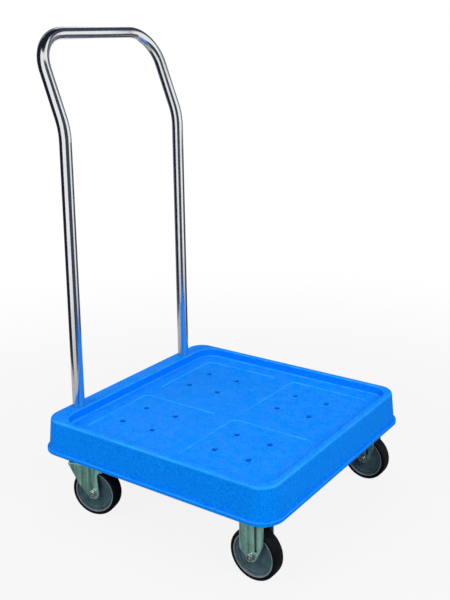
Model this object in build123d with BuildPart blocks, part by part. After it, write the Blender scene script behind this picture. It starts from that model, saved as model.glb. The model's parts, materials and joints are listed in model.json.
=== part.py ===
"""Basket dolly: a moulded deck with a seat for its load, a bent tube handle and four casters.

Millimetres. +Z is up from the floor, +X is the way the dolly is pushed, and the handle is at the -X end.
The origin is on the floor, under the middle of the overall length and width.
Right and left are as seen by a person who pushes the handle, so right is -Y.
"""

import os
from math import atan, degrees, pi, radians, tan

from build123d import *

# Seat that the load stands in
load_foot = 486
load_clearance = 4.5
seat_depth = 20
seat_corner = 40
seat_draft = 4
seat_floor = 6
seat_floor_round = 4
seat_edge_round = 3.5
panel_border = 34
panel_bar = 40
panel_corner = 14
panel_recess = 2
panel_taper = 45
drain_diameter = 12
drain_cells = (-2, -1, 1, 2)

# Rim and skirt of the deck
wall = 4
rim_front = 13
rim_side = 12.5
rim_round = 6
skirt_height = 70
skirt_lean = 6
skirt_corner = 43
bead_height = 8
bead_reach = 4
bead_round = 1.8
rib_thickness = 3.5
rib_count = 6
rib_recess = 6

# Handle tube and the sockets that hold it
tube_diameter = 25
tube_wall = 1.5
upright_spacing = 353
handle_top = 980
lean_height = 781
lean_angle = 21.2
lean_bend = 130
corner_bend = 75
socket_margin = 5.5
socket_wall = 4
socket_fit = 0.15
socket_web = 4
socket_drain = 10
plug_flange = 2
plug_stem = 8
plug_fit = 0.05
cross_bolt_height = 18
cross_boss_diameter = 22
cross_boss_reach = 2
spanner_room = 26

# Casters
wheel_diameter = 100
caster_room = 34
skirt_cover = 1
caster_inset_front = 62
caster_inset_side = 51
caster_stand_off = 1.4
plate_length = 86
plate_width = 68
plate_corner = 8
plate_thickness = 3
plate_bolt_x = 70
plate_bolt_y = 52
insert_diameter = 9
insert_length = 12
insert_boss = 16
sheet = 2.5
side_play = 0.5
fixed_boss = 21
fixed_leg_back = 25.4
fixed_leg_front = 25.4
fixed_leg_back_taper = 9.5
fixed_leg_front_taper = 28
fixed_leg_fillet = 2
crease_x = 9.9
crease_width = 5.4
crease_depth = 1.6
crease_taper = 15

# Swivel heads
trail = 30
swivel_turn_right = 13.6
swivel_turn_left = 9
head_height = 24
crown_back = 25.6
crown_front = 22
crown_bend = 3
leg_top_depth = 4
leg_front = 8.5
leg_swell = 20
leg_swell_x = 14.3
leg_swell_height = 28
notch_height = 47.5
notch_round = 10
swivel_boss = 25.5
hat_inset = 0.5
hat_round = 2
kingpin_diameter = 10
kingpin_head = 20
kingpin_head_height = 3.5
kingpin_head_room = 7
kingpin_nut_flats = 17
kingpin_nut_height = 8
upper_ball = 6
upper_race_inset = 5
lower_ball = 5
lower_race_inset = 3
ball_spacing = 1.15
race_groove = 0.8
race_play = 0.05
cup_room = 1.5
cup_thickness = 2.5
pin_fit = 0.08

# Wheels
tyre_width = 28
tyre_round = 5
tyre_inner = 85
lock_diameter = 89
lock_width = 8
ring_inset = 0.5
ring_thickness = 2.6
dish_step = 66
dish_rise = 1
web_width = 17
hub_proud = 1
hub_diameter = 28
hub_round = 3
sleeve_diameter = 12
sleeve_fit = 0.08

# Standard fasteners: shank diameter, width across flats, head and nut heights, washer diameter
m6_shank = 6
m6_flats = 10
m6_head = 4
m6_washer = 12
m8_shank = 8
m8_flats = 13
m8_head = 5.3
m8_nut = 8
m8_washer = 16
washer_thickness = 1.6
hex_chamfer = 0.5
bolt_clearance = 0.3
thread_end = 2
caster_bolt_length = 15

# How far from a height a face or an edge may lie and still be found there
level_search = 0.1

# Sizes that follow from the ones above
seat = load_foot + 2 * load_clearance
rim_rear = tube_diameter + 2 * socket_margin
top_length = rim_front + seat + rim_rear
top_width = seat + 2 * rim_side
foot_length = top_length + 2 * skirt_lean
foot_width = top_width + 2 * skirt_lean
deck_length = foot_length + 2 * bead_reach
deck_width = foot_width + 2 * bead_reach
skirt_draft = degrees(atan(skirt_lean / skirt_height))
wheel_radius = wheel_diameter / 2
caster_height = wheel_diameter + caster_room
skirt_foot = caster_height - skirt_cover
bead_top = skirt_foot + bead_height
rim_height = skirt_foot + skirt_height
seat_height = rim_height - seat_depth
seat_under = seat_height - seat_floor
rib_foot = skirt_foot + rib_recess
rib_pitch_x = (foot_length - 2 * wall) / (rib_count + 1)
rib_pitch_y = (foot_width - 2 * wall) / (rib_count + 1)

# The overall length runs from the back of the handle's bar to the front bead, and its middle is at x = 0
tube_radius = tube_diameter / 2
bar_height = handle_top - tube_radius
bar_setback = (bar_height - lean_height) * tan(radians(lean_angle))
upright_inset = bead_reach + skirt_lean + rim_rear / 2
deck_x = (bar_setback + tube_radius - upright_inset) / 2
rear_edge = deck_x - deck_length / 2
upright_x = rear_edge + upright_inset
bar_x = upright_x - bar_setback
seat_x = deck_x + top_length / 2 - rim_front - seat / 2
upright_spots = [(upright_x, -upright_spacing / 2), (upright_x, upright_spacing / 2)]

# Handle sockets: a web carries the tube's plug, and a cross bolt goes through skirt, socket and tube
socket_foot = skirt_foot + wall
plug_foot = socket_foot + socket_web
tube_foot = plug_foot + plug_flange
socket_bore = tube_radius + socket_fit
socket_radius = socket_bore + socket_wall
cross_bolt_z = tube_foot + cross_bolt_height
cross_seat_rear = rear_edge + bead_reach
cross_seat_front = upright_x + socket_radius + cross_boss_reach
cross_grip = cross_seat_front - cross_seat_rear
cross_bolt_length = cross_grip + 2 * washer_thickness + m8_nut + thread_end

# Caster places: each plane lies on the floor, with its X towards the wheel from the mounting point.
# The rear plates' bolts stand off from the handle's tube
front_x = deck_x + deck_length / 2 - caster_inset_front
rear_x = upright_x + tube_radius + caster_stand_off + plate_bolt_x / 2
side_y = deck_width / 2 - caster_inset_side
fixed_casters = {
    "front_right": Plane((front_x, -side_y, 0)),
    "front_left": Plane((front_x, side_y, 0)),
}
swivel_casters = {
    "rear_right": Plane((rear_x, -side_y, 0)).rotated((0, 0, swivel_turn_right)),
    "rear_left": Plane((rear_x, side_y, 0)).rotated((0, 0, swivel_turn_left)),
}
casters = {**fixed_casters, **swivel_casters}
trails = {corner: trail if corner in swivel_casters else 0 for corner in casters}
caster_spots = [(front_x, -side_y), (front_x, side_y), (rear_x, -side_y), (rear_x, side_y)]
plate_under = caster_height - plate_thickness
plate_seats = [Plane((x, y, caster_height)) for x, y in caster_spots]
plate_unders = [Plane((x, y, plate_under), z_dir=(0, 0, -1)) for x, y in caster_spots]

# Widths from the tyre outwards, and the heights of the creases in the fixed forks' legs
ring_width = tyre_width - 2 * ring_inset
hub_width = tyre_width + 2 * hub_proud
fork_gap = hub_width + 2 * side_play
fork_width = fork_gap + 2 * sheet
axle_grip = fork_width + 2 * washer_thickness
crease_low = wheel_radius + m8_washer / 2 + crease_width
crease_high = plate_under - 2 * crease_width
crease_spot = (crease_x, (crease_low + crease_high) / 2)

# Swivel head: widths from the fork inwards, and heights from the mounting plate downwards
hat_diameter = fork_width - 2 * hat_inset
upper_race = hat_diameter - 2 * upper_race_inset
cup_diameter = hat_diameter - 2 * (sheet + cup_room)
lower_race = cup_diameter - 2 * lower_race_inset
upper_balls = int(pi * upper_race / (upper_ball * ball_spacing))
lower_balls = int(pi * lower_race / (lower_ball * ball_spacing))
crown_top = caster_height - head_height
upper_ball_z = plate_under + race_groove - upper_ball / 2
hat_top = upper_ball_z - upper_ball / 2 + race_groove
hat_under = hat_top - sheet
lower_ball_z = hat_under + race_groove - lower_ball / 2
cup_top = lower_ball_z - lower_ball / 2 + race_groove
cup_under = cup_top - cup_thickness
kingpin_length = caster_height - cup_under + kingpin_nut_height + thread_end


def at_level(shapes, height):
    """Those of the shapes whose centre is at a height."""
    return shapes.filter_by_position(Axis.Z, height - level_search, height + level_search)


def cross_seats(x, facing):
    """Upright planes across the two cross bolts, facing along X."""
    return [Plane((x, y, cross_bolt_z), x_dir=(0, 1, 0), z_dir=(facing, 0, 0)) for _, y in upright_spots]


def leg_plane(foot, across):
    """Upright plane along a caster's wheel, so far out from the caster's middle towards its bolt head."""
    outward = foot.y_dir * -1
    return Plane(foot.origin + outward * across, x_dir=foot.x_dir, z_dir=outward)


def wheel_section(foot, reach):
    """Plane through the wheel's centre, with X along its radius and Y along its axle."""
    centre = foot.from_local_coords(Vector(reach, 0, wheel_radius))
    return Plane(centre, x_dir=foot.x_dir, z_dir=foot.z_dir * -1)


rear_seats = cross_seats(cross_seat_rear, -1)
front_seats = cross_seats(cross_seat_front, 1)
os.makedirs("parts", exist_ok=True)

# Ribs and caster pads under the deck's floor, trimmed to the skirt
with BuildPart() as under_ribs:
    with BuildSketch(Plane((deck_x, 0, rib_foot))):
        with GridLocations(rib_pitch_x, 0, rib_count, 1):
            Rectangle(rib_thickness, foot_width)
        with GridLocations(0, rib_pitch_y, 1, rib_count):
            Rectangle(foot_length, rib_thickness)
    extrude(amount=seat_under - rib_foot)
    pad_hollow = (plate_length - 2 * wall, plate_width - 2 * wall, plate_corner - wall)
    with BuildSketch(*plate_seats):
        RectangleRounded(plate_length, plate_width, plate_corner)
        RectangleRounded(*pad_hollow, mode=Mode.SUBTRACT)
        with GridLocations(plate_bolt_x, plate_bolt_y, 2, 2):
            Circle(insert_boss / 2)
    extrude(amount=seat_under - caster_height)
    with BuildSketch(Plane((deck_x, 0, skirt_foot))):
        RectangleRounded(foot_length - wall, foot_width - wall, skirt_corner - wall / 2)
    extrude(amount=skirt_height - wall, taper=skirt_draft, mode=Mode.INTERSECT)
    # Room for the kingpin heads, and for a spanner on the cross bolts' nuts
    with BuildSketch(*plate_seats):
        Circle(kingpin_head / 2 + wall)
    extrude(amount=kingpin_head_room, mode=Mode.SUBTRACT)
    with BuildSketch(*front_seats):
        Circle(spanner_room / 2)
    extrude(amount=spanner_room, mode=Mode.SUBTRACT)

# Deck: skirt, bead, rim, seat and handle sockets in one moulding
with BuildPart() as deck:
    with BuildSketch(Plane((deck_x, 0, skirt_foot))):
        RectangleRounded(foot_length, foot_width, skirt_corner)
    extrude(amount=skirt_height, taper=skirt_draft)
    fillet(deck.faces().sort_by(Axis.Z)[-1].edges(), rim_round)
    with BuildSketch(Plane((deck_x, 0, skirt_foot))):
        RectangleRounded(deck_length, deck_width, skirt_corner + bead_reach)
    extrude(amount=bead_height)
    bead_face = at_level(deck.faces().filter_by(Plane.XY), bead_top)[0]
    fillet(bead_face.outer_wire().edges(), bead_round)
    fillet(deck.faces().sort_by(Axis.Z)[0].edges(), bead_round)
    with BuildSketch(Plane((deck_x, 0, skirt_foot))):
        RectangleRounded(foot_length - 2 * wall, foot_width - 2 * wall, skirt_corner - wall)
    extrude(amount=skirt_height - wall, taper=skirt_draft, mode=Mode.SUBTRACT)
    with BuildSketch(Plane((seat_x, 0, seat_under))):
        RectangleRounded(seat + 2 * wall, seat + 2 * wall, seat_corner + wall)
    extrude(amount=rim_height - seat_under)
    with BuildSketch(Plane((seat_x, 0, rim_height))):
        RectangleRounded(seat, seat, seat_corner)
    extrude(amount=-seat_depth, taper=seat_draft, mode=Mode.SUBTRACT)
    rim_face = at_level(deck.faces().filter_by(Plane.XY), rim_height)[0]
    fillet(rim_face.inner_wires()[0].edges(), seat_edge_round)
    floor_face = at_level(deck.faces().filter_by(Plane.XY), seat_height)[0]
    fillet(floor_face.outer_wire().edges(), seat_floor_round)
    # Four shallow panels between the strips that carry the load
    panel = (seat - 2 * panel_border - panel_bar) / 2
    with BuildSketch(Plane((seat_x, 0, seat_height))):
        with GridLocations(panel + panel_bar, panel + panel_bar, 2, 2):
            RectangleRounded(panel, panel, panel_corner)
    extrude(amount=-panel_recess, taper=panel_taper, mode=Mode.SUBTRACT)
    add(under_ribs.part)
    # A drain hole in the middle of each rib cell that lies under a panel
    with BuildSketch(Plane((deck_x, 0, seat_under))):
        with Locations([(i * rib_pitch_x, j * rib_pitch_y) for i in drain_cells for j in drain_cells]):
            Circle(drain_diameter / 2)
    extrude(amount=seat_floor, mode=Mode.SUBTRACT)
    # Handle sockets and the bosses for their cross bolts
    with BuildSketch(Plane.XY.offset(socket_foot)):
        with Locations(*upright_spots):
            Circle(socket_radius)
    extrude(amount=rim_height - wall - socket_foot)
    with BuildSketch(*rear_seats):
        Circle(cross_boss_diameter / 2)
    extrude(amount=-cross_grip)
    with BuildSketch(Plane.XY.offset(plug_foot)):
        with Locations(*upright_spots):
            Circle(socket_bore)
    extrude(amount=rim_height - plug_foot, mode=Mode.SUBTRACT)
    with BuildSketch(Plane.XY.offset(socket_foot)):
        with Locations(*upright_spots):
            Circle(socket_drain / 2)
    extrude(amount=socket_web, mode=Mode.SUBTRACT)
    with BuildSketch(*rear_seats):
        Circle(m8_shank / 2 + bolt_clearance)
    extrude(amount=-cross_grip, mode=Mode.SUBTRACT)
    # Holes that the threaded inserts are moulded into
    with BuildSketch(*plate_seats):
        with GridLocations(plate_bolt_x, plate_bolt_y, 2, 2):
            Circle(insert_diameter / 2)
    extrude(amount=insert_length, mode=Mode.SUBTRACT)
deck.part.label = "deck"
export_step(deck.part, "parts/deck.step")

# Handle: one tube, up from the right socket, back, across and down to the left socket
with BuildPart() as handle_tube:
    with BuildLine():
        FilletPolyline(
            (upright_x, -upright_spacing / 2, tube_foot),
            (upright_x, -upright_spacing / 2, lean_height),
            (bar_x, -upright_spacing / 2, bar_height),
            (bar_x, upright_spacing / 2, bar_height),
            (upright_x, upright_spacing / 2, lean_height),
            (upright_x, upright_spacing / 2, tube_foot),
            radius=[lean_bend, corner_bend, corner_bend, lean_bend],
        )
    with BuildSketch(Plane((upright_x, -upright_spacing / 2, tube_foot))):
        Circle(tube_radius)
        Circle(tube_radius - tube_wall, mode=Mode.SUBTRACT)
    sweep()
    with BuildSketch(*rear_seats):
        Circle(m8_shank / 2 + bolt_clearance)
    extrude(amount=-cross_grip, mode=Mode.SUBTRACT)
handle_tube.part.label = "handle_tube"
export_step(handle_tube.part, "parts/handle_tube.step")

# Plugs that close the tube's two ends
with BuildPart() as tube_plugs:
    with BuildSketch(Plane.XY.offset(plug_foot)):
        with Locations(*upright_spots):
            Circle(tube_radius)
    extrude(amount=plug_flange)
    with BuildSketch(Plane.XY.offset(tube_foot)):
        with Locations(*upright_spots):
            Circle(tube_radius - tube_wall - plug_fit)
    extrude(amount=plug_stem)
tube_plugs.part.label = "tube_plugs"
export_step(tube_plugs.part, "parts/tube_plugs.step")

# Cross bolts with their washers and lock nuts
head_seats = [plane.offset(washer_thickness) for plane in rear_seats]
nut_seats = [plane.offset(washer_thickness) for plane in front_seats]
with BuildPart() as handle_bolts:
    with BuildSketch(*head_seats):
        RegularPolygon(m8_flats / 2, 6, major_radius=False)
    extrude(amount=m8_head)
    chamfer(handle_bolts.faces().filter_by(Plane.YZ).group_by(Axis.X)[0].edges(), hex_chamfer)
    with BuildSketch(*head_seats):
        Circle(m8_shank / 2)
    extrude(amount=-cross_bolt_length)
handle_bolts.part.label = "handle_bolts"
export_step(handle_bolts.part, "parts/handle_bolts.step")

with BuildPart() as handle_washers:
    with BuildSketch(*rear_seats, *front_seats):
        Circle(m8_washer / 2)
        Circle(m8_shank / 2 + bolt_clearance, mode=Mode.SUBTRACT)
    extrude(amount=washer_thickness)
handle_washers.part.label = "handle_washers"
export_step(handle_washers.part, "parts/handle_washers.step")

with BuildPart() as handle_nuts:
    with BuildSketch(*nut_seats):
        RegularPolygon(m8_flats / 2, 6, major_radius=False)
        Circle(m8_shank / 2, mode=Mode.SUBTRACT)
    extrude(amount=m8_nut)
handle_nuts.part.label = "handle_nuts"
export_step(handle_nuts.part, "parts/handle_nuts.step")

# Bolts, washers and threaded inserts that hold the four casters to the deck
with BuildPart() as caster_inserts:
    with BuildSketch(*plate_seats):
        with GridLocations(plate_bolt_x, plate_bolt_y, 2, 2):
            Circle(insert_diameter / 2)
            Circle(m6_shank / 2, mode=Mode.SUBTRACT)
    extrude(amount=insert_length)
caster_inserts.part.label = "caster_inserts"
export_step(caster_inserts.part, "parts/caster_inserts.step")

with BuildPart() as caster_washers:
    with BuildSketch(*plate_unders):
        with GridLocations(plate_bolt_x, plate_bolt_y, 2, 2):
            Circle(m6_washer / 2)
            Circle(m6_shank / 2 + bolt_clearance, mode=Mode.SUBTRACT)
    extrude(amount=washer_thickness)
caster_washers.part.label = "caster_washers"
export_step(caster_washers.part, "parts/caster_washers.step")

bolt_seats = [under.offset(washer_thickness) for under in plate_unders]
with BuildPart() as caster_bolts:
    with BuildSketch(*bolt_seats):
        with GridLocations(plate_bolt_x, plate_bolt_y, 2, 2):
            RegularPolygon(m6_flats / 2, 6, major_radius=False)
    extrude(amount=m6_head)
    chamfer(caster_bolts.faces().filter_by(Plane.XY).group_by(Axis.Z)[0].edges(), hex_chamfer)
    with BuildSketch(*bolt_seats):
        with GridLocations(plate_bolt_x, plate_bolt_y, 2, 2):
            Circle(m6_shank / 2)
    extrude(amount=-caster_bolt_length)
caster_bolts.part.label = "caster_bolts"
export_step(caster_bolts.part, "parts/caster_bolts.step")

# Fixed forks: a plate with two legs that taper to the axle, each with a scored crease
for corner, foot in fixed_casters.items():
    with BuildPart() as fixed_fork:
        with BuildSketch(foot.offset(plate_under)):
            RectangleRounded(plate_length, plate_width, plate_corner)
            with GridLocations(plate_bolt_x, plate_bolt_y, 2, 2):
                Circle(m6_shank / 2 + bolt_clearance, mode=Mode.SUBTRACT)
        extrude(amount=plate_thickness)
        with BuildSketch(leg_plane(foot, fork_gap / 2), leg_plane(foot, -fork_width / 2)):
            with Locations((0, wheel_radius)):
                Circle(fixed_boss / 2)
            Polygon(
                (-fixed_leg_back, plate_under),
                (-fixed_leg_back, wheel_radius + fixed_leg_back_taper),
                (fixed_leg_front, wheel_radius + fixed_leg_front_taper),
                (fixed_leg_front, plate_under),
                align=None,
            )
            make_hull()
        extrude(amount=sheet)
        plate_edges = at_level(fixed_fork.edges().filter_by(Axis.X), plate_under)
        leg_reach = fork_width / 2 + level_search
        side_low, side_high = foot.origin.Y - leg_reach, foot.origin.Y + leg_reach
        fillet(plate_edges.filter_by_position(Axis.Y, side_low, side_high), fixed_leg_fillet)
        for side in (1, -1):
            with BuildSketch(leg_plane(foot, side * fork_width / 2)):
                with Locations(crease_spot):
                    SlotCenterToCenter(crease_high - crease_low, crease_width, rotation=90)
            extrude(amount=-side * crease_depth, taper=crease_taper, mode=Mode.SUBTRACT)
        with BuildSketch(leg_plane(foot, -fork_width / 2)):
            with Locations((0, wheel_radius)):
                Circle(m8_shank / 2 + bolt_clearance)
        extrude(amount=fork_width, mode=Mode.SUBTRACT)
    fixed_fork.part.label = f"fixed_fork_{corner}"
    export_step(fixed_fork.part, f"parts/{fixed_fork.part.label}.step")

# Swivel heads: plate, kingpin, nut and lower cup stay with the deck; balls and fork turn with the wheel
for corner, foot in swivel_casters.items():
    mount = Plane(foot.origin)

    with BuildPart() as swivel_plate:
        with BuildSketch(mount.offset(plate_under)):
            RectangleRounded(plate_length, plate_width, plate_corner)
            with GridLocations(plate_bolt_x, plate_bolt_y, 2, 2):
                Circle(m6_shank / 2 + bolt_clearance, mode=Mode.SUBTRACT)
            Circle(kingpin_diameter / 2 + bolt_clearance, mode=Mode.SUBTRACT)
        extrude(amount=plate_thickness)
        with Locations((foot.origin.X, foot.origin.Y, upper_ball_z)):
            Torus(upper_race / 2, upper_ball / 2 + race_play, mode=Mode.SUBTRACT)
    swivel_plate.part.label = f"swivel_plate_{corner}"
    export_step(swivel_plate.part, f"parts/{swivel_plate.part.label}.step")

    with BuildPart() as kingpin:
        with BuildSketch(mount.offset(caster_height)):
            Circle(kingpin_head / 2)
        extrude(amount=kingpin_head_height)
        chamfer(kingpin.faces().sort_by(Axis.Z)[-1].edges(), hex_chamfer)
        with BuildSketch(mount.offset(caster_height)):
            Circle(kingpin_diameter / 2)
        extrude(amount=-kingpin_length)
    kingpin.part.label = f"kingpin_{corner}"
    export_step(kingpin.part, f"parts/{kingpin.part.label}.step")

    with BuildPart() as kingpin_nut:
        with BuildSketch(mount.offset(cup_under)):
            RegularPolygon(kingpin_nut_flats / 2, 6, major_radius=False)
            Circle(kingpin_diameter / 2, mode=Mode.SUBTRACT)
        extrude(amount=-kingpin_nut_height)
    kingpin_nut.part.label = f"kingpin_nut_{corner}"
    export_step(kingpin_nut.part, f"parts/{kingpin_nut.part.label}.step")

    with BuildPart() as race_cup:
        with BuildSketch(mount.offset(cup_under)):
            Circle(cup_diameter / 2)
            Circle(kingpin_diameter / 2, mode=Mode.SUBTRACT)
        extrude(amount=cup_thickness)
        with Locations((foot.origin.X, foot.origin.Y, lower_ball_z)):
            Torus(lower_race / 2, lower_ball / 2 + race_play, mode=Mode.SUBTRACT)
    race_cup.part.label = f"race_cup_{corner}"
    export_step(race_cup.part, f"parts/{race_cup.part.label}.step")

    with BuildPart(foot.offset(upper_ball_z)) as upper_ball_ring:
        with PolarLocations(upper_race / 2, upper_balls):
            Sphere(upper_ball / 2)
    upper_ball_ring.part.label = f"upper_balls_{corner}"
    export_step(upper_ball_ring.part, f"parts/{upper_ball_ring.part.label}.step")

    with BuildPart(foot.offset(lower_ball_z)) as lower_ball_ring:
        with PolarLocations(lower_race / 2, lower_balls):
            Sphere(lower_ball / 2)
    lower_ball_ring.part.label = f"lower_balls_{corner}"
    export_step(lower_ball_ring.part, f"parts/{lower_ball_ring.part.label}.step")

    with BuildPart() as swivel_fork:
        with BuildSketch(foot.offset(crown_top - sheet)):
            with Locations((-crown_back, 0)):
                Rectangle(crown_back + trail + crown_front, fork_width, align=(Align.MIN, Align.CENTER))
        extrude(amount=sheet)
        with BuildSketch(leg_plane(foot, fork_gap / 2), leg_plane(foot, -fork_width / 2)) as leg:
            with Locations((trail, wheel_radius)):
                Circle(swivel_boss / 2)
            with Locations((leg_swell_x, wheel_radius + leg_swell_height)):
                Circle(leg_swell)
            with Locations((-crown_back, crown_top)):
                Rectangle(crown_back + trail + leg_front, leg_top_depth, align=(Align.MIN, Align.MAX))
            make_hull()
            notch_foot = wheel_radius + notch_height
            with Locations((trail, notch_foot)):
                Rectangle(crown_front, crown_top - notch_foot, align=(Align.MIN, Align.MIN))
            notch_corner = (trail + leg_front, notch_foot, 0)
            fillet(leg.vertices().sort_by_distance(notch_corner)[0], notch_round)
        extrude(amount=sheet)
        along = Axis(foot.origin, foot.x_dir)
        fillet(swivel_fork.edges().filter_by(along).group_by(Axis.Z)[-1], crown_bend)
        with BuildSketch(foot.offset(crown_top - sheet)):
            Circle(hat_diameter / 2)
        extrude(amount=hat_top - crown_top + sheet)
        fillet(swivel_fork.faces().sort_by(Axis.Z)[-1].edges(), hat_round)
        with BuildSketch(foot.offset(crown_top - sheet)):
            Circle(hat_diameter / 2 - sheet)
        extrude(amount=hat_under - crown_top + sheet, mode=Mode.SUBTRACT)
        with BuildSketch(foot.offset(hat_under)):
            Circle(kingpin_diameter / 2 + pin_fit)
        extrude(amount=sheet, mode=Mode.SUBTRACT)
        with Locations((foot.origin.X, foot.origin.Y, upper_ball_z)):
            Torus(upper_race / 2, upper_ball / 2 + race_play, mode=Mode.SUBTRACT)
        with Locations((foot.origin.X, foot.origin.Y, lower_ball_z)):
            Torus(lower_race / 2, lower_ball / 2 + race_play, mode=Mode.SUBTRACT)
        with BuildSketch(leg_plane(foot, -fork_width / 2)):
            with Locations((trail, wheel_radius)):
                Circle(m8_shank / 2 + bolt_clearance)
        extrude(amount=fork_width, mode=Mode.SUBTRACT)
    swivel_fork.part.label = f"swivel_fork_{corner}"
    export_step(swivel_fork.part, f"parts/{swivel_fork.part.label}.step")

# Axles and wheels, the same on all four casters
for corner, foot in casters.items():
    reach = trails[corner]
    axle_spot = (reach, wheel_radius)
    section = wheel_section(foot, reach)
    axle = Axis(section.origin, section.y_dir)

    with BuildPart() as axle_bolt:
        with BuildSketch(leg_plane(foot, axle_grip / 2)):
            with Locations(axle_spot):
                RegularPolygon(m8_flats / 2, 6, major_radius=False)
        extrude(amount=m8_head)
        chamfer(axle_bolt.faces().sort_by(axle)[-1].edges(), hex_chamfer)
        with BuildSketch(leg_plane(foot, axle_grip / 2)):
            with Locations(axle_spot):
                Circle(m8_shank / 2)
        extrude(amount=-(axle_grip + m8_nut + thread_end))
    axle_bolt.part.label = f"axle_bolt_{corner}"
    export_step(axle_bolt.part, f"parts/{axle_bolt.part.label}.step")

    with BuildPart() as axle_nut:
        with BuildSketch(leg_plane(foot, -axle_grip / 2)):
            with Locations(axle_spot):
                RegularPolygon(m8_flats / 2, 6, major_radius=False)
                Circle(m8_shank / 2, mode=Mode.SUBTRACT)
        extrude(amount=-m8_nut)
    axle_nut.part.label = f"axle_nut_{corner}"
    export_step(axle_nut.part, f"parts/{axle_nut.part.label}.step")

    with BuildPart() as axle_washers:
        with BuildSketch(leg_plane(foot, fork_width / 2), leg_plane(foot, -axle_grip / 2)):
            with Locations(axle_spot):
                Circle(m8_washer / 2)
                Circle(m8_shank / 2 + bolt_clearance, mode=Mode.SUBTRACT)
        extrude(amount=washer_thickness)
    axle_washers.part.label = f"axle_washers_{corner}"
    export_step(axle_washers.part, f"parts/{axle_washers.part.label}.step")

    with BuildPart() as axle_sleeve:
        with BuildSketch(leg_plane(foot, -fork_gap / 2)):
            with Locations(axle_spot):
                Circle(sleeve_diameter / 2)
                Circle(m8_shank / 2 + bolt_clearance, mode=Mode.SUBTRACT)
        extrude(amount=fork_gap)
    axle_sleeve.part.label = f"axle_sleeve_{corner}"
    export_step(axle_sleeve.part, f"parts/{axle_sleeve.part.label}.step")

    with BuildPart() as wheel_centre:
        with BuildSketch(section) as half_wheel:
            with BuildLine():
                Polyline(
                    (sleeve_diameter / 2 + sleeve_fit, 0),
                    (sleeve_diameter / 2 + sleeve_fit, hub_width / 2),
                    (hub_diameter / 2, hub_width / 2),
                    (hub_diameter / 2, web_width / 2),
                    (dish_step / 2, web_width / 2),
                    (dish_step / 2, web_width / 2 + dish_rise),
                    (tyre_inner / 2 - ring_thickness, web_width / 2 + 2 * dish_rise),
                    (tyre_inner / 2 - ring_thickness, ring_width / 2),
                    (tyre_inner / 2, ring_width / 2),
                    (tyre_inner / 2, lock_width / 2),
                    (lock_diameter / 2, lock_width / 2),
                    (lock_diameter / 2, 0),
                    close=True,
                )
            make_face()
            hub_root = (hub_diameter / 2, web_width / 2, 0)
            fillet(half_wheel.vertices().sort_by_distance(hub_root)[0], hub_round)
            mirror(about=Plane.XZ)
        revolve(axis=axle)
    wheel_centre.part.label = f"wheel_centre_{corner}"
    export_step(wheel_centre.part, f"parts/{wheel_centre.part.label}.step")

    with BuildPart() as tyre:
        with BuildSketch(section) as half_tyre:
            with BuildLine():
                Polyline(
                    (lock_diameter / 2, 0),
                    (lock_diameter / 2, lock_width / 2),
                    (tyre_inner / 2, lock_width / 2),
                    (tyre_inner / 2, ring_width / 2),
                    (lock_diameter / 2, tyre_width / 2),
                    (wheel_radius, tyre_width / 2),
                    (wheel_radius, 0),
                    close=True,
                )
            make_face()
            shoulder = (wheel_radius, tyre_width / 2, 0)
            fillet(half_tyre.vertices().sort_by_distance(shoulder)[0], tyre_round)
            mirror(about=Plane.XZ)
        revolve(axis=axle)
    tyre.part.label = f"tyre_{corner}"
    export_step(tyre.part, f"parts/{tyre.part.label}.step")
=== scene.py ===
"""Looks of the basket dolly: a moulded deck, a bent tube handle and four casters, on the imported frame.

Metres, in the part's own frame: +Z is up from the floor, +X is the way the dolly is pushed, and right is -Y.
"""

import json
from math import cos, pi, radians, tan

import bmesh
import bpy
from mathutils import Matrix, Vector

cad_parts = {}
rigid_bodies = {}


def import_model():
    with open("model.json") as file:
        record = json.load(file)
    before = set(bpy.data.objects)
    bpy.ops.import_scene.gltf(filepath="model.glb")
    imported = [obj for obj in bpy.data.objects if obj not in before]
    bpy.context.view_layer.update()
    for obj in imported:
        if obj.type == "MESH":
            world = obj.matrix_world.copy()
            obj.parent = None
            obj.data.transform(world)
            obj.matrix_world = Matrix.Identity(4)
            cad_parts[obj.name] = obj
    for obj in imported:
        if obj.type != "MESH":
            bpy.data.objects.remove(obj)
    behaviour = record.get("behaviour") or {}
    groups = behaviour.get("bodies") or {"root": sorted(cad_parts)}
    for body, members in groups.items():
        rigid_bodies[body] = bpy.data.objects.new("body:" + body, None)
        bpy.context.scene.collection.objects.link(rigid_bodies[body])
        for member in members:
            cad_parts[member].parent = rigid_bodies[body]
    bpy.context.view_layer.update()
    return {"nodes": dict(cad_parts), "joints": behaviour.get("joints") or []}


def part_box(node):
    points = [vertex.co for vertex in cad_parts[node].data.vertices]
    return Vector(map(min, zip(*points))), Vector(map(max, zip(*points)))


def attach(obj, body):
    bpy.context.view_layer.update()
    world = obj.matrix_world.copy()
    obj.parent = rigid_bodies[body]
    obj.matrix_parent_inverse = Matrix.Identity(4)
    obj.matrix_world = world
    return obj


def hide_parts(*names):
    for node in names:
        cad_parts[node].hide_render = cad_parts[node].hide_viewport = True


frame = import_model()
scene = bpy.context.scene
scene.view_settings.view_transform = "Standard"

# Camera, where the photograph was taken from
image_width, image_height = 450, 600
sensor = 36
focal_pixels = 882.0
camera_place = (1.0454, -1.4097, 0.9715)
camera_azimuth, camera_elevation, camera_roll = 33.716, 11.570, -0.469
camera_shift = (-0.05, -0.15)

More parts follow.
